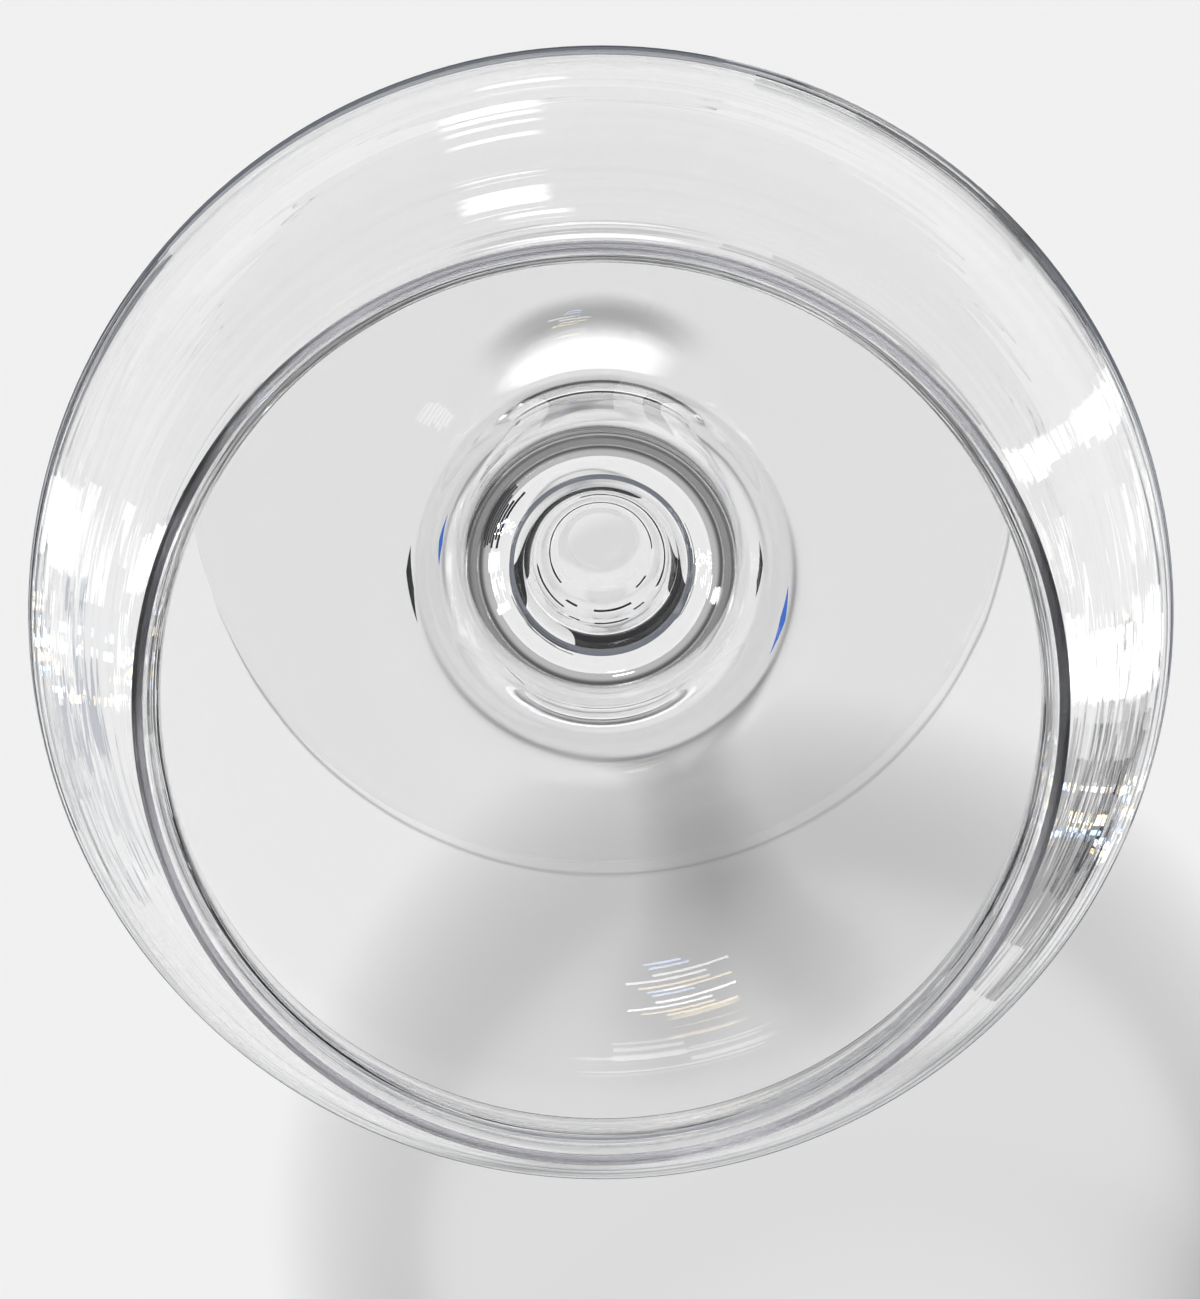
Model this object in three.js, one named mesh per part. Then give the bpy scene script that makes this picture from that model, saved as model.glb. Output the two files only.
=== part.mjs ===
// Stemmed tasting glass: a blown bowl with a flared lip, a drawn stem and a cast foot, fused hot end to end.
// Millimetres, +Z up. The glass stands on Z = 0 and its axis of revolution is the Z axis.

import * as THREE from 'three';

// Foot, from the resting plane to the seam under the stem
const FOOT_DIAMETER = 76;
const FOOT_EDGE = 2; // thickness of the rounded edge
const FOOT_RISE = 9.5; // resting plane to the seam
const FOOT_SEAM_DIAMETER = 16;
const FOOT_RING = 8; // width of the flat ring that rests on the table
const FOOT_HOLLOW = 1.2; // depth of the hollow inside the ring

// Stem, between its two seams
const STEM_LENGTH = 51.5;
const STEM_WAIST_DIAMETER = 6.4;
const STEM_WAIST_HEIGHT = 25; // foot seam to the slimmest place

// Bowl, from the seam on the stem to the rim
const BASE_THICKNESS = 8; // seam to the floor of the bowl
const BOWL_SEAM_DIAMETER = 16;
const BOWL_DEPTH = 61; // floor to rim
const BELLY_DIAMETER = 92;
const BELLY_DROP = 40.5; // rim to belly
const NECK_DIAMETER = 67.6;
const NECK_DROP = 3.5; // rim to neck
const RIM_DIAMETER = 69.5;
const WALL = 1;
const DISH_WALL = 1.5; // wall of the dish where it leaves the flare of the base
const LIP = 0.8; // thickness of the flat, ground lip

// How far each round of the outline reaches from the place that it is named for
const FOOT_TOP_ROUND = 17;
const FOOT_SEAM_ROUND = 5;
const WAIST_ROUND = 13;
const BOWL_SEAM_ROUND = 4;
const FLARE_ROUND = 4;
const FLOOR_ROUND = 27;
const BELLY_ROUND = 9;
const NECK_ROUND = 14;
const LIP_ROUND = 1.6;

// Slopes of the outline, in degrees above the horizontal
const FOOT_TOP_SLOPE = 5;
const FOOT_SEAM_SLOPE = 50;
const BOWL_SEAM_SLOPE = 60;
const LIP_SLOPE = 65;

const DISH_JOIN = 0.24; // where along the dish, from floor to belly, its outer face meets the flare of the base
const HALF_TURN = 4 / 3; // handle of a curve that turns back on itself, for each unit of its radius

// Fineness of the revolved faces
const AROUND = 64;
const PER_CURVE = 8;

const UP = new THREE.Vector2(0, 1);
const OUT = new THREE.Vector2(1, 0);

// Direction that climbs outwards at a slope, or inwards where inwards is true.
function climb(slope, inwards = false) {
  const angle = THREE.MathUtils.degToRad(inwards ? 180 - slope : slope);
  return new THREE.Vector2(Math.cos(angle), Math.sin(angle));
}

function handle(direction, reach) {
  return direction.clone().multiplyScalar(reach);
}

// Carries the outline on to its next point, leaving and arriving along the two handles.
function curveTo(path, leave, arrive, end) {
  const first = path.currentPoint.clone().add(leave);
  const second = end.clone().sub(arrive);
  path.bezierCurveTo(first.x, first.y, second.x, second.y, end.x, end.y);
}

// Half of the foot's section, from the middle of its underside round the edge to the seam.
function footOutline() {
  const edgeRadius = FOOT_EDGE / 2;
  const shoulder = FOOT_DIAMETER / 2 - edgeRadius;
  const hollowRadius = shoulder - FOOT_RING;
  const seam = new THREE.Vector2(FOOT_SEAM_DIAMETER / 2, FOOT_RISE);
  const path = new THREE.Path();
  path.moveTo(0, FOOT_HOLLOW);
  const hollowReach = hollowRadius / 2;
  curveTo(path, handle(OUT, hollowReach), handle(OUT, hollowReach), new THREE.Vector2(hollowRadius, 0));
  path.lineTo(shoulder, 0);
  const edgeReach = edgeRadius * HALF_TURN;
  curveTo(path, handle(OUT, edgeReach), handle(OUT, -edgeReach), new THREE.Vector2(shoulder, FOOT_EDGE));
  const topLeave = handle(climb(FOOT_TOP_SLOPE, true), FOOT_TOP_ROUND);
  curveTo(path, topLeave, handle(climb(FOOT_SEAM_SLOPE, true), FOOT_SEAM_ROUND), seam);
  path.lineTo(0, FOOT_RISE);
  return path;
}

// Half of the stem's section, from the foot seam past the waist to the bowl seam.
function stemOutline() {
  const waist = new THREE.Vector2(STEM_WAIST_DIAMETER / 2, STEM_WAIST_HEIGHT);
  const seam = new THREE.Vector2(BOWL_SEAM_DIAMETER / 2, STEM_LENGTH);
  const path = new THREE.Path();
  path.moveTo(0, 0);
  path.lineTo(FOOT_SEAM_DIAMETER / 2, 0);
  curveTo(path, handle(climb(FOOT_SEAM_SLOPE, true), FOOT_SEAM_ROUND), handle(UP, WAIST_ROUND), waist);
  curveTo(path, handle(UP, WAIST_ROUND), handle(climb(BOWL_SEAM_SLOPE), BOWL_SEAM_ROUND), seam);
  path.lineTo(0, STEM_LENGTH);
  return path;
}

// Half of the bowl's section: up the outer face from the seam to the rim, then down the inner face to the floor.
function bowlOutline() {
  const rimHeight = BASE_THICKNESS + BOWL_DEPTH;
  const seam = new THREE.Vector2(BOWL_SEAM_DIAMETER / 2, 0);
  const belly = new THREE.Vector2(BELLY_DIAMETER / 2, rimHeight - BELLY_DROP);
  const neck = new THREE.Vector2(NECK_DIAMETER / 2, rimHeight - NECK_DROP);
  const rim = new THREE.Vector2(RIM_DIAMETER / 2, rimHeight);
  const bellyInside = belly.clone().sub(handle(OUT, WALL));
  const neckInside = neck.clone().sub(handle(OUT, WALL));
  const rimInside = rim.clone().sub(handle(OUT, LIP));
  const floor = new THREE.Vector2(0, BASE_THICKNESS);

  // The outer face of the dish runs along its inner face, from a point of it that is moved out by the wall.
  const floorHandle = floor.clone().add(handle(OUT, FLOOR_ROUND));
  const bellyHandle = bellyInside.clone().sub(handle(UP, BELLY_ROUND));
  const low = floor.clone().lerp(floorHandle, DISH_JOIN);
  const middle = floorHandle.clone().lerp(bellyHandle, DISH_JOIN);
  const high = bellyHandle.clone().lerp(bellyInside, DISH_JOIN);
  const before = low.clone().lerp(middle, DISH_JOIN);
  const after = middle.clone().lerp(high, DISH_JOIN);
  const place = before.clone().lerp(after, DISH_JOIN);
  const leave = after.clone().sub(place);
  const arrive = bellyInside.clone().sub(high);
  const along = leave.clone().normalize();
  const outwards = new THREE.Vector2(along.y, -along.x);
  const join = place.clone().add(handle(outwards, DISH_WALL));

  const path = new THREE.Path();
  path.moveTo(0, 0);
  path.lineTo(seam.x, seam.y);
  curveTo(path, handle(climb(BOWL_SEAM_SLOPE), BOWL_SEAM_ROUND), handle(along, FLARE_ROUND), join);
  curveTo(path, leave, arrive, belly);
  curveTo(path, handle(UP, BELLY_ROUND), handle(UP, NECK_ROUND), neck);
  curveTo(path, handle(UP, LIP_ROUND), handle(climb(LIP_SLOPE), LIP_ROUND), rim);
  path.lineTo(rimInside.x, rimInside.y);
  curveTo(path, handle(climb(LIP_SLOPE), -LIP_ROUND), handle(UP, -LIP_ROUND), neckInside);
  curveTo(path, handle(UP, -NECK_ROUND), handle(UP, -BELLY_ROUND), bellyInside);
  curveTo(path, handle(UP, -BELLY_ROUND), handle(OUT, -FLOOR_ROUND), floor);
  return path;
}

// Revolves an outline about the axis and stands it on the height of its lower seam.
function revolve(name, outline, height, colour) {
  const geometry = new THREE.LatheGeometry(outline.getPoints(PER_CURVE), AROUND);
  geometry.rotateX(Math.PI / 2);
  const material = new THREE.MeshStandardMaterial({
    color: colour,
    roughness: 0.03,
    metalness: 0,
    transparent: true,
    opacity: 0.35,
  });
  const mesh = new THREE.Mesh(geometry, material);
  mesh.name = name;
  mesh.position.z = height;
  return mesh;
}

const glass = new THREE.Group();
glass.name = 'tasting_glass';
glass.add(revolve('foot', footOutline(), 0, 0xeef1f3));
glass.add(revolve('stem', stemOutline(), FOOT_RISE, 0xeff2f4));
glass.add(revolve('bowl', bowlOutline(), FOOT_RISE + STEM_LENGTH, 0xf2f4f5));

export default glass;
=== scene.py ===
"""Stemmed tasting glass: a blown bowl, a drawn stem and a cast foot, fused hot end to end."""

from __future__ import annotations

import logging
import math
import random
from dataclasses import dataclass, field
from enum import Enum
from typing import ClassVar

import bmesh
import bpy
from mathutils import Matrix, Quaternion, Vector
from mathutils.geometry import interpolate_bezier

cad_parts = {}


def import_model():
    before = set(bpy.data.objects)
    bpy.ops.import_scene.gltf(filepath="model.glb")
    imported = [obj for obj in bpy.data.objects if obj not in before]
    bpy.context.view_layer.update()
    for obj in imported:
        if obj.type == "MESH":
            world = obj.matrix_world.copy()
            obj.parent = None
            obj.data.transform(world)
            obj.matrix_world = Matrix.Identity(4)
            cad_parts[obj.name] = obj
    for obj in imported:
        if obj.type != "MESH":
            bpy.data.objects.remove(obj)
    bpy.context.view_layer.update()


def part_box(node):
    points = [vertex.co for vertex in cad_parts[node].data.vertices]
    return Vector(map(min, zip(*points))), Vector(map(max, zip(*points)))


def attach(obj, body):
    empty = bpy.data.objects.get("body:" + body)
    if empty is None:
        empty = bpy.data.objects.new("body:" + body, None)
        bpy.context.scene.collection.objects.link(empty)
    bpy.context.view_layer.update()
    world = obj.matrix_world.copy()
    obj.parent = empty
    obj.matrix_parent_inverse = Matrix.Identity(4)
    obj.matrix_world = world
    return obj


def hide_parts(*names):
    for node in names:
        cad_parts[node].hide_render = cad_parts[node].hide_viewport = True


LOG = logging.getLogger("tasting_glass")

MM = 0.001
PHOTO_WIDTH = 1200
PHOTO_HEIGHT = 1299
FULL_TURN = 360
UP = Vector((0, 0, 1))
OUT = Vector((1, 0, 0))
LEVEL = Vector((1, 1, 0))

Pair = tuple[float, float]
Triple = tuple[float, float, float]
Colour = Triple


def grey(value: float) -> Colour:
    """A neutral colour of one value."""
    return (value, value, value)


def climb(slope: float, inwards: bool = False) -> Vector:
    """The direction that climbs at a slope.

    Args:
        slope: Degrees above the horizontal.
        inwards: True to climb towards the axis instead of away from it.

    Returns:
        A unit vector in the plane of the section.
    """
    angle = math.radians(180 - slope if inwards else slope)
    return Vector((math.cos(angle), 0, math.sin(angle)))


def add_object(name: str, mesh: bmesh.types.BMesh) -> bpy.types.Object:
    """Makes an object of a finished mesh and puts it into the scene.

    Args:
        name: Name of the object and of its mesh.
        mesh: The finished mesh, which is freed.

    Returns:
        The object, at the origin.
    """
    data = bpy.data.meshes.new(name)
    mesh.to_mesh(data)
    mesh.free()
    made = bpy.data.objects.new(name, data)
    bpy.context.scene.collection.objects.link(made)
    return made


class Face(Enum):
    """The kinds of face on a piece, as the indices of its materials."""

    GLASS = 0
    SEAM = 1
    LIP = 2


class Ray(Enum):
    """Kinds of ray that materials and the world tell apart, as the outputs of a Light Path node."""

    CAMERA = "Is Camera Ray"
    DIFFUSE = "Is Diffuse Ray"
    SHADOW = "Is Shadow Ray"


class Fate(Enum):
    """What the glass has done to a ray: mirrored it, or bent it at the four faces of two walls.

    Each is an output of a Light Path node and what it must be more than.
    """

    REFLECTED = ("Glossy Depth", 0.5)
    BENT = ("Transmission Depth", 3.5)


@dataclass
class Outline:
    """Half of a section in the X-Z plane, drawn from point to point.

    Attributes:
        points: Places along the outline, each a radius and a height in metres.
        steps: Points that each curve is drawn with.
        lead: Length of the straight ends that keep a curve's tangent at both its ends.
        merge: Distance within which points become one.
    """

    points: list[Vector] = field(default_factory=list)
    steps: int = 28
    lead: float = 0.01 * MM
    merge: float = 0.001 * MM

    def line_to(self, end: Vector) -> None:
        """Carries the outline straight on to a point."""
        self.points.append(end)

    def curve_to(self, leave: Vector, arrive: Vector, end: Vector) -> None:
        """Carries the outline on to a point along a curve.

        Args:
            leave: Handle along which the curve leaves the last point.
            arrive: Handle along which the curve arrives.
            end: The point where it ends.
        """
        start = self.points[-1]
        curve = interpolate_bezier(start, start + leave, end - arrive, end, self.steps)
        self.points.append(start + leave.normalized() * self.lead)
        self.points.extend(curve[1:-1])
        self.points.append(end - arrive.normalized() * self.lead)
        self.points.append(end)

    def revolve(self, name: str, around: int) -> bpy.types.Object:
        """Turns the outline about the axis into a closed solid.

        Args:
            name: Name of the new object.
            around: Faces in each ring.

        Returns:
            The object, at the origin, with its place in its mesh.
        """
        mesh = bmesh.new()
        verts = [mesh.verts.new(point) for point in self.points]
        edges = [mesh.edges.new(pair) for pair in zip(verts, verts[1:])]
        bmesh.ops.spin(
            mesh,
            geom=verts + edges,
            cent=(0, 0, 0),
            axis=UP,
            angle=math.tau,
            steps=around,
            use_merge=True,
        )
        bmesh.ops.remove_doubles(mesh, verts=mesh.verts[:], dist=self.merge)
        bmesh.ops.recalc_face_normals(mesh, faces=mesh.faces[:])
        return add_object(name, mesh)


class Nodes:
    """Short calls that place nodes in a tree and link them."""

    MIX_INPUTS: ClassVar[tuple[int, int, int]] = (0, 6, 7)
    MIX_OUTPUT: ClassVar[int] = 2

    def __init__(self, tree: bpy.types.NodeTree) -> None:
        """Keeps the tree that the calls work on."""
        self.tree = tree

    def add(self, kind: str, **inputs: object) -> bpy.types.Node:
        """Places a node.

        Args:
            kind: The node's type, without the word Shader in front.
            **inputs: Values or sockets for its inputs, with _ for each space in their names.

        Returns:
            The node.
        """
        node = self.tree.nodes.new("ShaderNode" + kind)
        for name, value in inputs.items():
            self.feed(node.inputs[name.replace("_", " ")], value)
        return node

    def feed(self, socket: bpy.types.NodeSocket, value: object) -> None:
        """Gives an input a value, or links it to a socket."""
        if isinstance(value, bpy.types.NodeSocket):
            self.tree.links.new(value, socket)
        else:
            socket.default_value = value

    def math(self, operation: str, *values: object) -> bpy.types.NodeSocket:
        """Places a Math node.

        Args:
            operation: The node's operation.
            *values: Values or sockets for its inputs, in order.

        Returns:
            Its output.
        """
        node = self.tree.nodes.new("ShaderNodeMath")
        node.operation = operation
        for socket, value in zip(node.inputs, values):
            self.feed(socket, value)
        return node.outputs[0]

    def vector(self, operation: str, *values: object) -> bpy.types.Node:
        """Places a Vector Math node.

        Args:
            operation: The node's operation.
            *values: Values or sockets for its inputs, in order.

        Returns:
            The node.
        """
        node = self.tree.nodes.new("ShaderNodeVectorMath")
        node.operation = operation
        for socket, value in zip(node.inputs, values):
            self.feed(socket, value)
        return node

    def along(self, place: bpy.types.NodeSocket, azimuth: float) -> bpy.types.NodeSocket:
        """Places a node that tells how far a place lies in a level direction.

        Args:
            place: The place, as a vector.
            azimuth: Degrees of the direction round the axis from +X.

        Returns:
            The distance from the axis in that direction.
        """
        heading = math.radians(azimuth)
        ahead = (math.cos(heading), math.sin(heading), 0)
        return self.vector("DOT_PRODUCT", place, ahead).outputs["Value"]

    def has_been(self, fate: Fate) -> bpy.types.NodeSocket:
        """Places nodes that tell whether the glass has done something to a ray: 1 if so, and 0 if not."""
        output_name, least = fate.value
        return self.math("GREATER_THAN", self.add("LightPath").outputs[output_name], least)

    def ramp(self, value: object, before: Pair, after: tuple[object, object]) -> bpy.types.NodeSocket:
        """Places a smooth Map Range node.

        Args:
            value: The socket to map.
            before: Where the rise starts and ends.
            after: What it goes from and to.

        Returns:
            The mapped value.
        """
        node = self.tree.nodes.new("ShaderNodeMapRange")
        node.interpolation_type = "SMOOTHSTEP"
        for socket, number in zip(node.inputs, (value, *before, *after)):
            self.feed(socket, number)
        return node.outputs[0]

    def mix_colours(self, share: object, first: Colour, second: Colour) -> bpy.types.NodeSocket:
        """Places a Mix node for colours, whose sockets come after those for numbers and vectors.

        Args:
            share: How much of the second colour shows.
            first: The first colour.
            second: The second colour.

        Returns:
            The mixed colour.
        """
        node = self.add("Mix")
        node.data_type = "RGBA"
        for place, value in zip(self.MIX_INPUTS, (share, (*first, 1), (*second, 1))):
            self.feed(node.inputs[place], value)
        return node.outputs[self.MIX_OUTPUT]

    def mix_shaders(self, share: object, first: bpy.types.Node, second: bpy.types.Node) -> bpy.types.Node:
        """Places a Mix Shader node.

        Args:
            share: How much of the second shader shows.
            first: The first shader.
            second: The second shader.

        Returns:
            The node.
        """
        node = self.tree.nodes.new("ShaderNodeMixShader")
        for socket, value in zip(node.inputs, (share, first.outputs[0], second.outputs[0])):
            self.feed(socket, value)
        return node


class DrawLines:
    """Faint rings and waves that hot glass keeps from being blown and drawn, as a node group."""

    NAME: ClassVar[str] = "draw_lines"
    RING_SCALE: ClassVar[Triple] = (14, 14, 620)
    WAVE_SCALE: ClassVar[Triple] = (26, 26, 40)
    BLOWN_HEIGHTS: ClassVar[Pair] = (72 * MM, 86 * MM)
    SHARE_BELOW: ClassVar[float] = 0.1

    @classmethod
    def group(cls) -> bpy.types.NodeTree:
        """The group, made on first use.

        Returns:
            A tree with Rings and Waves inputs and a Height output.
        """
        tree = bpy.data.node_groups.get(cls.NAME)
        return tree if tree else cls._make()

    @classmethod
    def _make(cls) -> bpy.types.NodeTree:
        """Builds the group's sockets and nodes."""
        tree = bpy.data.node_groups.new(cls.NAME, "ShaderNodeTree")
        for name in ("Rings", "Waves"):
            tree.interface.new_socket(name, in_out="INPUT", socket_type="NodeSocketFloat")
        tree.interface.new_socket("Height", in_out="OUTPUT", socket_type="NodeSocketFloat")
        nodes = Nodes(tree)
        given = tree.nodes.new("NodeGroupInput")
        taken = tree.nodes.new("NodeGroupOutput")
        place = nodes.add("TexCoord").outputs["Object"]
        rings_at = nodes.add("Mapping", Vector=place, Scale=cls.RING_SCALE).outputs[0]
        waves_at = nodes.add("Mapping", Vector=place, Scale=cls.WAVE_SCALE).outputs[0]
        rings = nodes.add("TexNoise", Vector=rings_at, Scale=1.0, Detail=1.0).outputs[0]
        waves = nodes.add("TexNoise", Vector=waves_at, Scale=1.0, Detail=2.0).outputs[0]
        height_at = nodes.add("SeparateXYZ", Vector=place).outputs["Z"]
        blown = nodes.ramp(height_at, cls.BLOWN_HEIGHTS, (cls.SHARE_BELOW, 1))
        ring_height = nodes.math("MULTIPLY", nodes.math("MULTIPLY", rings, given.outputs["Rings"]), blown)
        wave_height = nodes.math("MULTIPLY", waves, given.outputs["Waves"])
        nodes.feed(taken.inputs["Height"], nodes.math("ADD", ring_height, wave_height))
        return tree


@dataclass(frozen=True)
class ClearGlass:
    """Polished clear glass that lets lamps through to what is behind it.

    Attributes:
        name: Name of the material.
        tint: Colour of the light that has passed through.
        rings: Depth of the rings that run round the piece, in metres.
        waves: Depth of the broad waves, in metres.
        ior: Index of refraction.
        shade: Light that passes from a lamp where the surface faces it.
        edge_shade: Light that passes from a lamp where the surface is edge on.
        edge: How far the surface turns aside where it starts to pass less, and where it is edge on.
    """

    name: str
    tint: Colour = (0.998, 0.998, 1.0)
    rings: float = 0.03 * MM
    waves: float = 0.02 * MM
    ior: float = 1.52
    shade: float = 0.985
    edge_shade: float = 0.05
    edge: Pair = (0.4, 1.0)

    def material(self) -> bpy.types.Material:
        """Builds the material.

        Returns:
            The material, with its shader, its draw lines and its way through for lamps.
        """
        material = bpy.data.materials.new(self.name)
        material.use_nodes = True
        nodes = Nodes(material.node_tree)
        glass = material.node_tree.nodes["Principled BSDF"]
        glass.inputs["Base Color"].default_value = (*self.tint, 1)
        glass.inputs["Roughness"].default_value = 0.0
        glass.inputs["IOR"].default_value = self.ior
        glass.inputs["Transmission Weight"].default_value = 1.0
        if self.rings or self.waves:
            nodes.feed(glass.inputs["Normal"], self._lines(nodes))

        aside = nodes.add("LayerWeight", Blend=0.5).outputs["Facing"]
        passed = nodes.ramp(aside, self.edge, (self.shade, self.edge_shade))
        lamp_way = nodes.add("BsdfTransparent", Color=passed)
        from_lamp = nodes.add("LightPath").outputs[Ray.SHADOW.value]
        mixed = nodes.mix_shaders(from_lamp, glass, lamp_way)
        output = material.node_tree.nodes["Material Output"]
        nodes.feed(output.inputs["Surface"], mixed.outputs[0])
        return material

    def _lines(self, nodes: Nodes) -> bpy.types.NodeSocket:
        """Places the draw lines.

        Args:
            nodes: Calls on the material's tree.

        Returns:
            The normal that they give the surface.
        """
        lines = nodes.add("Group")
        lines.node_tree = DrawLines.group()
        for name, depth in (("Rings", self.rings), ("Waves", self.waves)):
            lines.inputs[name].default_value = depth / MM
        return nodes.add("Bump", Height=lines.outputs["Height"], Strength=1.0, Distance=MM).outputs[0]


@dataclass(frozen=True)
class GroundLipPaintedShade(ClearGlass):
    """The ground lip, tinted darker so that it draws a line: painted shade, deeper still at two places of
    its round.

    Attributes:
        dark: Painted shade: colour of the light that has passed at the two darker places.
        painted_shade_at: Degrees round the axis from +X to the two places of deeper painted shade.
        reach: Distances from the axis, towards such a place, between which the painted shade on the lip
            deepens, in metres.
        roughness: How far the polish falls short.
    """

    # Painted shade: a grey tint that darkens the whole lip so that it draws a line.
    tint: Colour = (0.42, 0.42, 0.47)
    rings: float = 0.0
    waves: float = 0.0
    # Painted shade: the colour of the lip at its two darkest places.
    dark: Colour = (0.012, 0.012, 0.014)
    painted_shade_at: Pair = (6, 165)
    reach: Pair = (27 * MM, 34 * MM)
    roughness: float = 0.12

    def material(self) -> bpy.types.Material:
        """Builds the material.

        Returns:
            The glass, with its tint of painted shade, which darkens further at the two places.
        """
        material = super().material()
        nodes = Nodes(material.node_tree)
        glass = material.node_tree.nodes["Principled BSDF"]
        glass.inputs["Roughness"].default_value = self.roughness
        # Painted shade, deepest towards the two places round the lip.
        place = nodes.add("TexCoord").outputs["Object"]
        towards = nodes.math("MAXIMUM", *(nodes.along(place, azimuth) for azimuth in self.painted_shade_at))
        painted_shade_share = nodes.ramp(towards, self.reach, (0, 1))
        nodes.feed(glass.inputs["Base Color"], nodes.mix_colours(painted_shade_share, self.tint, self.dark))
        return material


@dataclass(frozen=True)
class FusedSeam:
    """The face where two pieces were fused hot, which the eye and the light don't meet."""

    name: str = "fused_seam"

    def material(self) -> bpy.types.Material:
        """The material, made on first use."""
        found = bpy.data.materials.get(self.name)
        if found:
            return found
        material = bpy.data.materials.new(self.name)
        material.use_nodes = True
        clear = Nodes(material.node_tree).add("BsdfTransparent")
        output = material.node_tree.nodes["Material Output"]
        material.node_tree.links.new(clear.outputs[0], output.inputs["Surface"])
        return material


@dataclass
class GlassPiece:
    """A revolved piece of the glass, which stands for the frame's node of the same name.

    Attributes:
        name: Name of the node that the piece replaces.
        finish: What it is made of.
        around: Faces in each ring.
    """

    SEAM_REACH: ClassVar[float] = 0.001 * MM

    name: str
    finish: ClearGlass
    around: int = 192

    def __post_init__(self) -> None:
        """Takes the piece's heights and widest radius from its node."""
        low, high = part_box(self.name)
        self.bottom = low.z
        self.top = high.z
        self.radius = high.x

    def outline(self) -> Outline:
        """Half of the piece's section."""
        raise NotImplementedError

    def seams(self) -> list[float]:
        """Heights of the faces where the piece is fused to its neighbours."""
        raise NotImplementedError

    def materials(self) -> list[bpy.types.Material]:
        """The piece's materials, in the order of the kinds of face."""
        return [self.finish.material(), FusedSeam().material()]

    def kind_at(self, height: float) -> Face:
        """What kind of face has its middle at a height."""
        if any(abs(height - seam) < self.SEAM_REACH for seam in self.seams()):
            return Face.SEAM
        return Face.GLASS

    def build(self) -> bpy.types.Object:
        """Makes the piece, dresses it and ties it to the frame.

        Returns:
            The piece's object.
        """
        piece = self.outline().revolve("visual_" + self.name, self.around)
        self._sort_faces(piece)
        for material in self.materials():
            piece.data.materials.append(material)
        piece.visible_diffuse = False
        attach(piece, "root")
        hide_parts(self.name)
        LOG.info("%s: %d faces", piece.name, len(piece.data.polygons))
        return piece

    def _sort_faces(self, piece: bpy.types.Object) -> None:
        """Gives each face its material, smooth but for the seams, which are flat within a sharp edge.

        Args:
            piece: The piece's object.
        """
        mesh = bmesh.new()
        mesh.from_mesh(piece.data)
        for face in mesh.faces:
            kind = self.kind_at(face.calc_center_median().z)
            face.material_index = kind.value
            face.smooth = kind is not Face.SEAM
        for edge in mesh.edges:
            flat = [face for face in edge.link_faces if not face.smooth]
            edge.smooth = len(flat) != 1
        mesh.to_mesh(piece.data)
        mesh.free()


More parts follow.
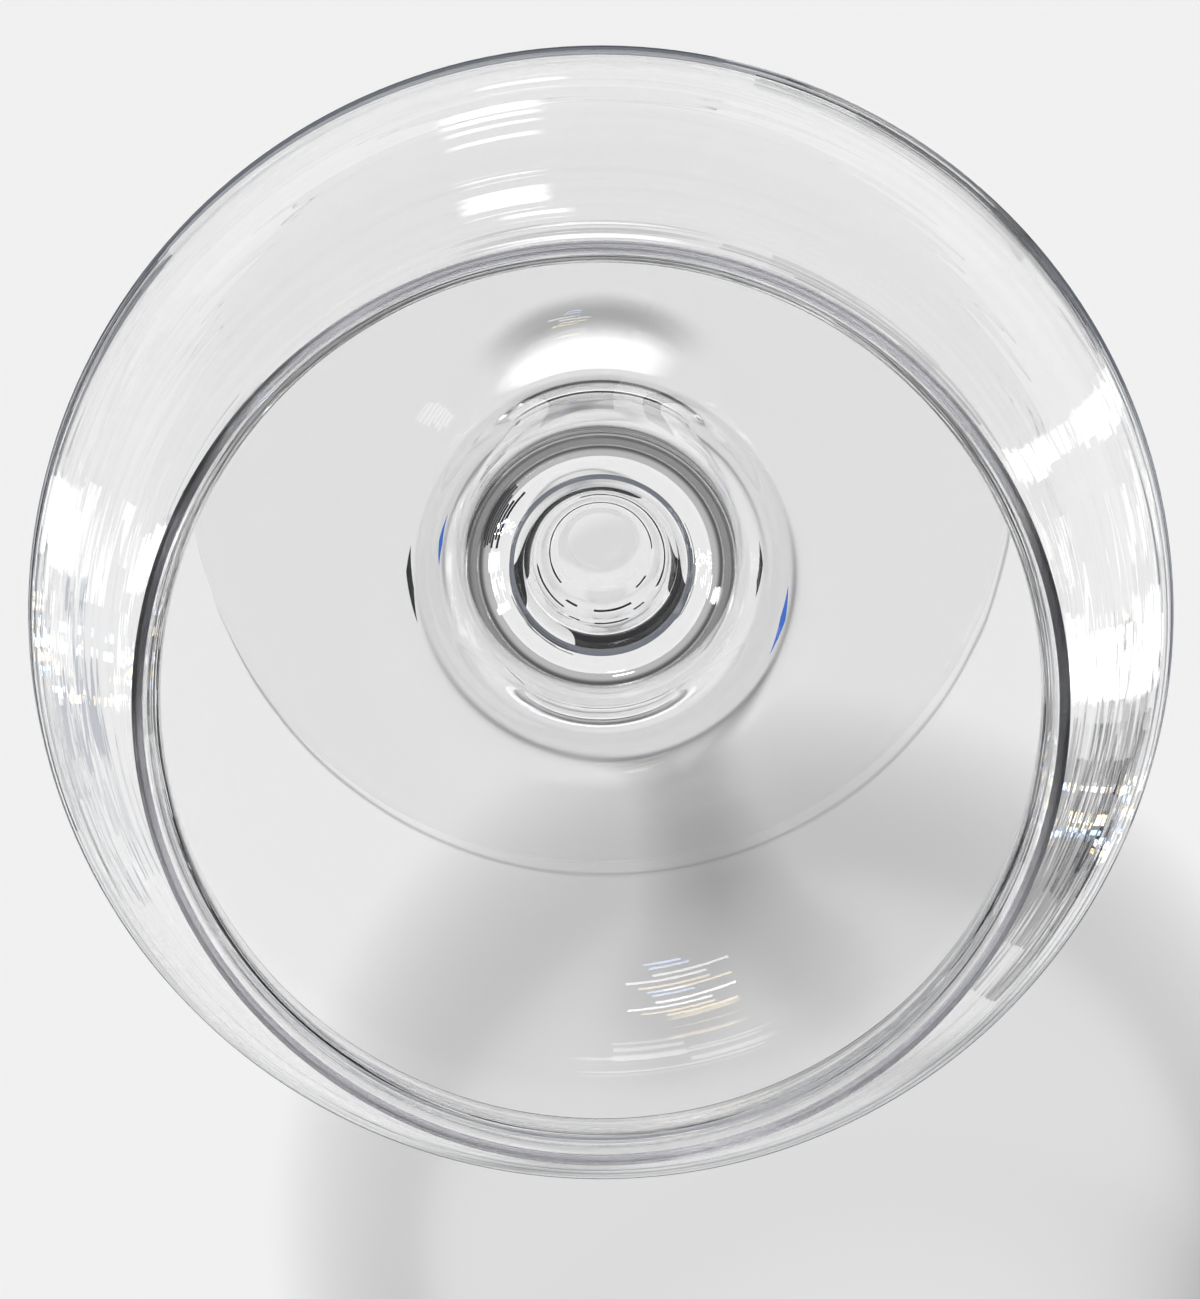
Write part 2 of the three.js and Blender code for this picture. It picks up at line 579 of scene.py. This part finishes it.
@dataclass
class Bowl(GlassPiece):
    """The blown bowl: a thick base that flares into a dish, a low belly, a drawn neck and a ground lip.

    Attributes:
        lip_glass_and_painted_shade: The lip's ground glass, tinted with painted shade.
        base_thickness: Seam to the floor of the bowl.
        seam_radius: Radius of the seam on the stem.
        belly_drop: Rim to belly.
        neck_radius: Radius of the neck, outside.
        neck_drop: Rim to neck.
        rim_radius: Radius of the rim, outside.
        wall: Thickness of the wall from the belly up.
        dish_wall: Thickness of the dish where it leaves the flare of the base.
        lip: Thickness of the lip.
        lip_edge: Size of the rounds at the lip's two edges.
        seam_round: Reach of the curve that leaves the seam.
        flare_round: Reach of the curve with which the flare joins the dish.
        floor_round: Reach of the floor's curve.
        belly_round: Reach of the belly's curves.
        neck_round: Reach of the curve that arrives at the neck from below.
        lip_round: Reach of the curves of the lip's flare.
        seam_slope: Degrees at which the outline leaves the seam.
        lip_slope: Degrees at which the lip flares.
        dish_join: Share of the dish, from floor to belly, where its outer face meets the flare.
    """

    # The lip's ground glass, whose tint is painted shade.
    lip_glass_and_painted_shade: GroundLipPaintedShade = GroundLipPaintedShade("ground_lip_painted_shade")
    base_thickness: float = 8 * MM
    seam_radius: float = 8 * MM
    belly_drop: float = 40.5 * MM
    neck_radius: float = 33.8 * MM
    neck_drop: float = 3.5 * MM
    rim_radius: float = 34.75 * MM
    wall: float = 1 * MM
    dish_wall: float = 1.5 * MM
    lip: float = 0.8 * MM
    lip_edge: float = 0.15 * MM
    seam_round: float = 4 * MM
    flare_round: float = 4 * MM
    floor_round: float = 27 * MM
    belly_round: float = 9 * MM
    neck_round: float = 14 * MM
    lip_round: float = 1.6 * MM
    seam_slope: float = 60
    lip_slope: float = 65
    dish_join: float = 0.24

    def seams(self) -> list[float]:
        """Height of the seam on the stem."""
        return [self.bottom]

    def materials(self) -> list[bpy.types.Material]:
        """The bowl's materials, with that of its lip."""
        return [*super().materials(), self.lip_glass_and_painted_shade.material()]

    def kind_at(self, height: float) -> Face:
        """What kind of face has its middle at a height."""
        return Face.LIP if height > self.top - self.lip_edge else super().kind_at(height)

    def outline(self) -> Outline:
        """Half of the bowl's section: up the outer face to the rim, then down inside to the floor."""
        seam = Vector((self.seam_radius, 0, self.bottom))
        belly = Vector((self.radius, 0, self.top - self.belly_drop))
        neck = Vector((self.neck_radius, 0, self.top - self.neck_drop))
        rim = Vector((self.rim_radius, 0, self.top))
        belly_inside = belly - OUT * self.wall
        neck_inside = neck - OUT * self.wall
        rim_inside = rim - OUT * self.lip
        floor = Vector((0, 0, self.bottom + self.base_thickness))
        join, leave, arrive = self._dish_outside(floor, belly_inside)
        lip_flare = climb(self.lip_slope)

        path = Outline([Vector((0, 0, self.bottom)), seam])
        path.curve_to(climb(self.seam_slope) * self.seam_round, leave.normalized() * self.flare_round, join)
        path.curve_to(leave, arrive, belly)
        path.curve_to(UP * self.belly_round, UP * self.neck_round, neck)
        below = lip_flare * self.lip_edge
        path.curve_to(UP * self.lip_round, lip_flare * self.lip_round, rim - below)
        path.curve_to(below / 2, -OUT * self.lip_edge / 2, rim - OUT * self.lip_edge)
        path.line_to(rim_inside + OUT * self.lip_edge)
        path.curve_to(-OUT * self.lip_edge / 2, -below / 2, rim_inside - below)
        path.curve_to(-lip_flare * self.lip_round, -UP * self.lip_round, neck_inside)
        path.curve_to(-UP * self.neck_round, -UP * self.belly_round, belly_inside)
        path.curve_to(-UP * self.belly_round, -OUT * self.floor_round, floor)
        return path

    def _dish_outside(self, floor: Vector, belly_inside: Vector) -> tuple[Vector, Vector, Vector]:
        """The outer face of the dish, which runs along its inner face, one wall further out.

        Args:
            floor: Middle of the bowl's floor.
            belly_inside: The belly's inner face.

        Returns:
            Where the face meets the flare of the base, and the handles along which it leaves and arrives.
        """
        share = self.dish_join
        out_handle = floor + OUT * self.floor_round
        up_handle = belly_inside - UP * self.belly_round
        low, middle = floor.lerp(out_handle, share), out_handle.lerp(up_handle, share)
        high = up_handle.lerp(belly_inside, share)
        before, after = low.lerp(middle, share), middle.lerp(high, share)
        place = before.lerp(after, share)
        leave = after - place
        outwards = Vector((leave.z, 0, -leave.x)).normalized()
        return place + outwards * self.dish_wall, leave, belly_inside - high


@dataclass
class Stem(GlassPiece):
    """The drawn stem, slim at its waist and flared to both seams.

    Attributes:
        foot_seam_radius: Radius of the seam on the foot.
        bowl_seam_radius: Radius of the seam under the bowl.
        waist_radius: Radius of the slimmest place.
        waist_height: Foot seam to the slimmest place.
        foot_seam_round: Reach of the curve that leaves the foot seam.
        waist_round: Reach of the waist's curves.
        bowl_seam_round: Reach of the curve that arrives at the bowl seam.
        foot_seam_slope: Degrees at which the outline leaves the foot seam.
        bowl_seam_slope: Degrees at which it arrives at the bowl seam.
    """

    foot_seam_radius: float = 8 * MM
    bowl_seam_radius: float = 8 * MM
    waist_radius: float = 3.2 * MM
    waist_height: float = 25 * MM
    foot_seam_round: float = 5 * MM
    waist_round: float = 13 * MM
    bowl_seam_round: float = 4 * MM
    foot_seam_slope: float = 50
    bowl_seam_slope: float = 60

    def seams(self) -> list[float]:
        """Heights of the seams on the foot and under the bowl."""
        return [self.bottom, self.top]

    def outline(self) -> Outline:
        """Half of the stem's section, from the foot seam past the waist to the bowl seam."""
        low = Vector((self.foot_seam_radius, 0, self.bottom))
        waist = Vector((self.waist_radius, 0, self.bottom + self.waist_height))
        high = Vector((self.bowl_seam_radius, 0, self.top))
        path = Outline([Vector((0, 0, self.bottom)), low])
        leave = climb(self.foot_seam_slope, True) * self.foot_seam_round
        arrive = climb(self.bowl_seam_slope) * self.bowl_seam_round
        path.curve_to(leave, UP * self.waist_round, waist)
        path.curve_to(UP * self.waist_round, arrive, high)
        path.line_to(Vector((0, 0, self.top)))
        return path


@dataclass
class Foot(GlassPiece):
    """The cast foot: a thin round plate on a flat ring, hollowed beneath and rising to the stem.

    Attributes:
        edge: Thickness of the rounded edge.
        seam_radius: Radius of the seam under the stem.
        ring: Width of the flat ring that rests on the table.
        hollow: Depth of the hollow inside the ring.
        top_round: Reach of the curve that leaves the edge.
        seam_round: Reach of the curve that arrives at the seam.
        top_slope: Degrees at which the top leaves the edge.
        seam_slope: Degrees at which it arrives at the seam.
        half_turn: Handle of a curve that turns back on itself, for each unit of its radius.
    """

    edge: float = 2 * MM
    seam_radius: float = 8 * MM
    ring: float = 8 * MM
    hollow: float = 1.2 * MM
    top_round: float = 17 * MM
    seam_round: float = 5 * MM
    top_slope: float = 5
    seam_slope: float = 50
    half_turn: float = 4 / 3

    def seams(self) -> list[float]:
        """Height of the seam under the stem."""
        return [self.top]

    def outline(self) -> Outline:
        """Half of the foot's section, from the middle of its underside round the edge to the seam."""
        edge_radius = self.edge / 2
        shoulder = self.radius - edge_radius
        hollow_radius = shoulder - self.ring
        turn = OUT * edge_radius * self.half_turn
        path = Outline([Vector((0, 0, self.bottom + self.hollow))])
        reach = OUT * hollow_radius / 2
        path.curve_to(reach, reach, Vector((hollow_radius, 0, self.bottom)))
        path.line_to(Vector((shoulder, 0, self.bottom)))
        path.curve_to(turn, -turn, Vector((shoulder, 0, self.bottom + self.edge)))
        leave = climb(self.top_slope, True) * self.top_round
        arrive = climb(self.seam_slope, True) * self.seam_round
        path.curve_to(leave, arrive, Vector((self.seam_radius, 0, self.top)))
        path.line_to(Vector((0, 0, self.top)))
        return path


@dataclass(frozen=True)
class Strips:
    """How a card is cut into strips, from its one edge to the other.

    Attributes:
        count: Number of strips.
        cover: Least and greatest share of the card's spread that a strip covers.
        fill: Share of each strip that is card, the rest being a gap.
    """

    count: int = 1
    cover: Pair = (1.0, 1.0)
    fill: float = 1.0


@dataclass
class Card:
    """A studio card that only rays from the glass meet: bright to light an edge, black to darken it.

    Attributes:
        name: Name of the card.
        azimuth: Degrees round the axis from +X.
        spread: Degrees of the circle that it covers.
        start: Radius and height of its one edge, in millimetres.
        end: Radius and height of its other edge, in millimetres.
        brightness: Strength of its light, 0 for black.
        strips: How it is cut.
        colour: Colour of its light.
        fate: What the glass has done to the rays that it shows itself to.
        soft: Share of the card, in from each edge, over which it fades.
    """

    ARC_STEP: ClassVar[float] = 4
    LEAST_STEPS: ClassVar[int] = 2

    name: str
    azimuth: float
    spread: float
    start: Pair
    end: Pair
    brightness: float = 0.0
    strips: Strips = Strips()
    colour: Colour = (1, 1, 1)
    fate: Fate = Fate.REFLECTED
    soft: float = 0.0

    def build(self) -> bpy.types.Object:
        """Makes the card as an arc round the glass, whole or in strips.

        Returns:
            The card's object.
        """
        mesh = bmesh.new()
        chance = random.Random(self.name)
        low, high = (Vector((radius, 0, height)) * MM for radius, height in (self.start, self.end))
        for strip in range(self.strips.count):
            shares = (strip / self.strips.count, (strip + self.strips.fill) / self.strips.count)
            edges = [low.lerp(high, share) for share in shares]
            length = self.spread * chance.uniform(*self.strips.cover)
            first = self.azimuth - self.spread / 2 + (self.spread - length) * chance.random()
            self._arc(mesh, edges, first, length)
        card = add_object(self.name, mesh)
        card.data.materials.append(self._material())
        card.visible_camera = card.visible_diffuse = card.visible_shadow = False
        return card

    def _arc(self, mesh: bmesh.types.BMesh, edges: list[Vector], azimuth: float, spread: float) -> None:
        """Adds one arc to the card's mesh.

        Args:
            mesh: The mesh.
            edges: Places of the arc's two edges at azimuth 0.
            azimuth: Degrees at which the arc starts.
            spread: Degrees that it covers.
        """
        turn = Quaternion(UP, math.radians(azimuth))
        verts = [mesh.verts.new(turn @ edge) for edge in edges]
        bmesh.ops.spin(
            mesh,
            geom=verts + [mesh.edges.new(verts)],
            cent=(0, 0, 0),
            axis=UP,
            angle=math.radians(spread),
            steps=max(self.LEAST_STEPS, round(spread / self.ARC_STEP)),
            use_merge=spread == FULL_TURN,
        )

    def _material(self) -> bpy.types.Material:
        """The card's light, which fades to its edges and shows itself to some rays only."""
        material = bpy.data.materials.new(self.name)
        material.use_nodes = True
        nodes = Nodes(material.node_tree)
        light = nodes.add("Emission", Color=(*self.colour, 1), Strength=self.brightness)
        share = nodes.has_been(self.fate)
        if self.soft:
            share = nodes.math("MULTIPLY", share, self._faded(nodes))
        shown = nodes.mix_shaders(share, nodes.add("BsdfTransparent"), light)
        output = material.node_tree.nodes["Material Output"]
        nodes.feed(output.inputs["Surface"], shown.outputs[0])
        return material

    def _faded(self, nodes: Nodes) -> bpy.types.NodeSocket:
        """How much of the card shows, from none at its edges to all in its middle.

        Args:
            nodes: Calls on the material's tree.

        Returns:
            The share.
        """
        place = nodes.add("TexCoord").outputs["Object"]
        level = nodes.vector("MULTIPLY", place, LEVEL).outputs[0]
        radius = nodes.vector("LENGTH", level).outputs["Value"]
        height = nodes.add("SeparateXYZ", Vector=place).outputs["Z"]
        across = nodes.math("ADD", radius, height)
        first, last = sum(self.start) * MM, sum(self.end) * MM
        fade = (last - first) * self.soft
        heading = nodes.vector("NORMALIZE", level).outputs[0]
        reach = math.radians(self.spread / 2)
        aside = (math.cos(reach), math.cos(reach * (1 - 2 * self.soft)))
        ends = nodes.ramp(nodes.along(heading, self.azimuth), aside, (0, 1))
        low = nodes.ramp(across, (first, first + fade), (0, 1))
        high = nodes.ramp(across, (last - fade, last), (1, 0))
        return nodes.math("MULTIPLY", ends, nodes.math("MULTIPLY", low, high))


@dataclass
class Studio:
    """The pale floor, the lamp, the surroundings and the cards.

    Attributes:
        pale: Value of the floor and of the backdrop.
        ambient: Value of the light that comes from all round.
        horizon: Value that the glass lets through from level with it.
        mirrored: Value that the glass mirrors from level with it.
        dark: Value that the glass sees halfway up.
        zenith: Value that the glass sees overhead.
        dark_from: Rise of a direction where the horizon starts to darken, and where it is dark.
        zenith_from: Rise of a direction where the zenith starts, and where it has its full value.
        gap: How far the floor lies under the foot, so that the glass shows no wet contact.
        sun_azimuth: Degrees round the axis from +X to the lamp.
        sun_height: Degrees of the lamp above the horizon.
        sun_softness: Degrees that the lamp spans.
        floor_size: Half the floor's width.
        dusk: Tint of the dark cards.
    """

    pale: float = 0.87
    ambient: float = 0.2
    horizon: float = 0.85
    mirrored: float = 0.5
    dark: float = 0.1
    zenith: float = 0.25
    dark_from: Pair = (0.15, 0.35)
    zenith_from: Pair = (0.85, 0.97)
    gap: float = 0.2 * MM
    sun_azimuth: float = 105
    sun_height: float = 48
    sun_softness: float = 7
    floor_size: float = 3.0
    dusk: Colour = (0.8, 0.86, 1.0)

    def build(self) -> None:
        """Makes the floor, the lamp, the surroundings and the cards."""
        self._floor()
        self._sun()
        self._world()
        for card in (*self._dark_cards(), *self._cards_under(), *self._white_cards(), *self._sparks()):
            card.build()

    def _dark_cards(self) -> list[Card]:
        """Cards that darken the edges of the glass and draw its rings as lines."""
        dusk, bent = self.dusk, Fate.BENT
        wide, ragged = Strips(9, (0.2, 1), 0.7), Strips(9, (0.1, 1), 0.7)
        full, fine = Strips(9, (0.6, 1), 0.8), Strips(10, (0.5, 1), 0.8)
        thin = Strips(10, (0.4, 1), 0.6)
        return [
            Card("dark_card_round", 0, FULL_TURN, (48, 0.5), (84, 0.5), 0.2, colour=dusk),
            Card("dark_card_far_right", 42, 64, (60, 1), (118, 1), 0.03, wide, dusk),
            Card("dark_card_left", 182, 70, (60, 1), (112, 1), 0.05, ragged, dusk),
            Card("dark_card_near_right", -32, 34, (90, 40), (90, 110), 0.02, full, dusk),
            Card("grey_card_near_right", -29, 32, (52, 0.5), (96, 0.5), 0.03, fine, dusk, bent),
            Card("grey_card_near_left", 206, 36, (52, 0.5), (96, 0.5), 0.45, thin, dusk, bent),
        ]

    def _cards_under(self) -> list[Card]:
        """Cards under the foot, which show in the thick base of the bowl."""
        bent, dusk = Fate.BENT, self.dusk
        blue = (0.05, 0.25, 1.0)
        return [
            Card("black_card_under_right", 120, 96, (10.5, -0.05), (60, -0.05)),
            Card("black_card_under_left", 14, 30, (10.5, -0.05), (60, -0.05)),
            Card("white_card_under", 100, 100, (5.5, -0.1), (12.5, -0.1), 1.3, fate=bent, soft=0.25),
            Card("grey_card_under", 94, 100, (11.5, -0.1), (16, -0.1), 0.45, fate=bent, soft=0.45),
            Card("dark_fleck_under", -128, 14, (12, -0.1), (14, -0.1), 0.02, colour=dusk, fate=bent),
            Card("blue_fleck_under", -62, 8, (12, -0.1), (14, -0.1), 0.6, colour=blue, fate=bent),
        ]

    @staticmethod
    def _white_cards() -> list[Card]:
        """Cards that light the shoulder of the bowl."""
        toothed, rough = Strips(9, (0.6, 1), 0.8), Strips(9, (0.5, 1), 0.8)
        torn = Strips(9, (0.4, 1), 0.75)
        streaks, short_streaks = Strips(8, (0.15, 0.6), 0.3), Strips(9, (0.1, 0.45), 0.3)
        return [
            Card("white_card_right", -8, 12, (90, 30), (90, 64), 3.2, toothed, soft=0.15),
            Card("white_card_right_high", 18, 6, (90, 26), (90, 70), 2.6, rough, soft=0.15),
            Card("white_streaks_right", 6, 26, (90, 24), (90, 60), 2.2, streaks),
            Card("white_card_near_right", -31, 2.4, (88, 32), (88, 44), 3.0, soft=0.2),
            Card("white_card_left", 172, 10, (60, 68), (60, 86.8), 2.8, torn, soft=0.12),
            Card("white_streaks_left", 180, 34, (90, 14), (90, 66), 2.0, short_streaks),
            Card("white_card_far", 103, 14, (90, 64.5), (90, 69), 5.0, soft=0.3),
            Card("white_card_far_low", 99, 12, (90, 53.5), (90, 57), 3.0, soft=0.3),
        ]

    @staticmethod
    def _sparks() -> list[Card]:
        """Small bright cards, some in colours as of light that an edge has split."""
        white, warm, blue = (1.0, 1.0, 1.0), (1.0, 0.8, 0.45), (0.48, 0.66, 1.0)
        long, middling, short = (Strips(2, cover, 0.4) for cover in ((0.5, 0.8), (0.4, 0.8), (0.3, 0.7)))
        arcs, dots = Strips(5, (0.2, 0.9), 0.5), Strips(12, (0.05, 0.12), 0.5)
        cards = [
            Card("white_sparks", 103, 22, (150, 238), (150, 251), 14.0, long),
            Card("warm_sparks", 105, 18, (150, 226), (150, 236), 12.0, middling, warm),
            Card("blue_sparks", 101, 16, (150, 253), (150, 263), 12.0, short, blue),
            Card("warm_spark_low", 107, 14, (150, 196), (150, 200), 7.0, colour=warm, soft=0.3),
            Card("pale_sparks", 101, 34, (150, 150), (150, 184), 4.0, arcs, soft=0.2),
        ]
        low, high = (88, 10), (88, 60)
        for side, azimuth in (("left", -171), ("right", -27)):
            for shade, colour in (("white", white), ("warm", warm), ("blue", blue)):
                name = f"{shade}_sparkles_{side}"
                cards.append(Card(name, azimuth, 9, low, high, 6.0, dots, colour))
        return cards

    def _floor(self) -> None:
        """Makes the floor, a plain pale sheet."""
        mesh = bmesh.new()
        bmesh.ops.create_grid(mesh, x_segments=1, y_segments=1, size=self.floor_size)
        bmesh.ops.translate(mesh, verts=mesh.verts[:], vec=-UP * self.gap)
        floor = add_object("floor", mesh)
        material = bpy.data.materials.new("pale_floor")
        material.use_nodes = True
        sheet = material.node_tree.nodes["Principled BSDF"]
        sheet.inputs["Base Color"].default_value = (*grey(self.pale), 1)
        sheet.inputs["Roughness"].default_value = 1.0
        sheet.inputs["Specular IOR Level"].default_value = 0.0
        floor.data.materials.append(material)

    def _sun(self) -> None:
        """Makes the lamp, bright enough that it and the surroundings show a colour as it is written."""
        lamp = bpy.data.lights.new("key", "SUN")
        height = math.radians(self.sun_height)
        lamp.energy = (1 - self.ambient) * math.pi / math.sin(height)
        lamp.angle = math.radians(self.sun_softness)
        key = bpy.data.objects.new("key", lamp)
        azimuth = math.radians(self.sun_azimuth)
        level = Vector((math.cos(azimuth), math.sin(azimuth), 0))
        towards = level * math.cos(height) + UP * math.sin(height)
        key.rotation_mode = "QUATERNION"
        key.rotation_quaternion = towards.to_track_quat("Z", "Y")
        key.visible_glossy = key.visible_transmission = False
        bpy.context.scene.collection.objects.link(key)

    def _world(self) -> None:
        """Makes the surroundings: pale to the camera, even to the floor, and dark above to the glass."""
        world = bpy.data.worlds.new("studio")
        bpy.context.scene.world = world
        world.use_nodes = True
        nodes = Nodes(world.node_tree)
        direction = nodes.add("TexCoord").outputs["Generated"]
        rise = nodes.add("SeparateXYZ", Vector=direction).outputs["Z"]
        path = nodes.add("LightPath")
        mirror = nodes.has_been(Fate.REFLECTED)
        level = nodes.math("MULTIPLY_ADD", mirror, self.mirrored - self.horizon, self.horizon)
        low = nodes.ramp(rise, self.dark_from, (level, self.dark))
        high = nodes.ramp(rise, self.zenith_from, (0, self.zenith - self.dark))
        seen = nodes.math("ADD", low, high)
        studio = nodes.add("Background", Color=(*grey(1), 1), Strength=seen)
        ambient = nodes.add("Background", Color=(*grey(self.ambient), 1))
        backdrop = nodes.add("Background", Color=(*grey(self.pale), 1))
        lit = nodes.mix_shaders(path.outputs[Ray.DIFFUSE.value], studio, ambient)
        shown = nodes.mix_shaders(path.outputs[Ray.CAMERA.value], lit, backdrop)
        output = world.node_tree.nodes["World Output"]
        nodes.feed(output.inputs["Surface"], shown.outputs[0])


@dataclass
class PhotoCamera:
    """The camera, at the photograph's angle to the glass.

    Attributes:
        tilt: Degrees between the line of sight and the glass's axis.
        distance: Distance to the middle of the rim, along the line of sight.
        focal: Focal length, in pixels of the photograph.
        rim_across: Pixels from the picture's middle across to the middle of the rim.
        rim_below: Pixels from the picture's middle down to the middle of the rim.
        sensor: Width of the sensor, in millimetres.
        near: Least distance at which the camera sees.
    """

    tilt: float = 9.8
    distance: float = 0.45
    focal: float = 6093
    rim_across: float = 1
    rim_below: float = 60
    sensor: float = 36
    near: float = 10 * MM

    def build(self, rim: Vector) -> bpy.types.Object:
        """Makes the camera and gives it to the scene.

        Args:
            rim: Middle of the glass's rim.

        Returns:
            The camera's object.
        """
        lens = bpy.data.cameras.new("photo_camera")
        lens.sensor_width = self.sensor
        lens.lens = self.focal / max(PHOTO_WIDTH, PHOTO_HEIGHT) * self.sensor
        lens.clip_start = self.near
        camera = bpy.data.objects.new("photo_camera", lens)
        turn = Matrix.Rotation(-math.radians(self.tilt), 4, "X")
        scale = self.distance / self.focal
        towards_rim = Vector((self.rim_across * scale, -self.rim_below * scale, -self.distance))
        camera.matrix_world = Matrix.Translation(rim - turn @ towards_rim) @ turn
        bpy.context.scene.collection.objects.link(camera)
        bpy.context.scene.camera = camera
        return camera


def settle_render() -> None:
    """Sets how colours are shown and how far light is followed through the glass."""
    scene = bpy.context.scene
    scene.view_settings.view_transform = "Standard"
    scene.cycles.max_bounces = 72
    scene.cycles.transmission_bounces = 24
    scene.cycles.glossy_bounces = 52
    scene.cycles.transparent_max_bounces = 24


def main() -> None:
    """Builds the glass and its studio around the frame."""
    logging.basicConfig(level=logging.INFO)
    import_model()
    bowl = Bowl("bowl", ClearGlass("bowl_clear_glass", shade=0.94))
    stem = Stem("stem", ClearGlass("stem_clear_glass", shade=0.82))
    foot = Foot("foot", ClearGlass("foot_clear_glass"))
    for piece in (bowl, stem, foot):
        piece.build()
    PhotoCamera().build(UP * bowl.top)
    Studio().build()
    settle_render()


if __name__ == "__main__":
    main()
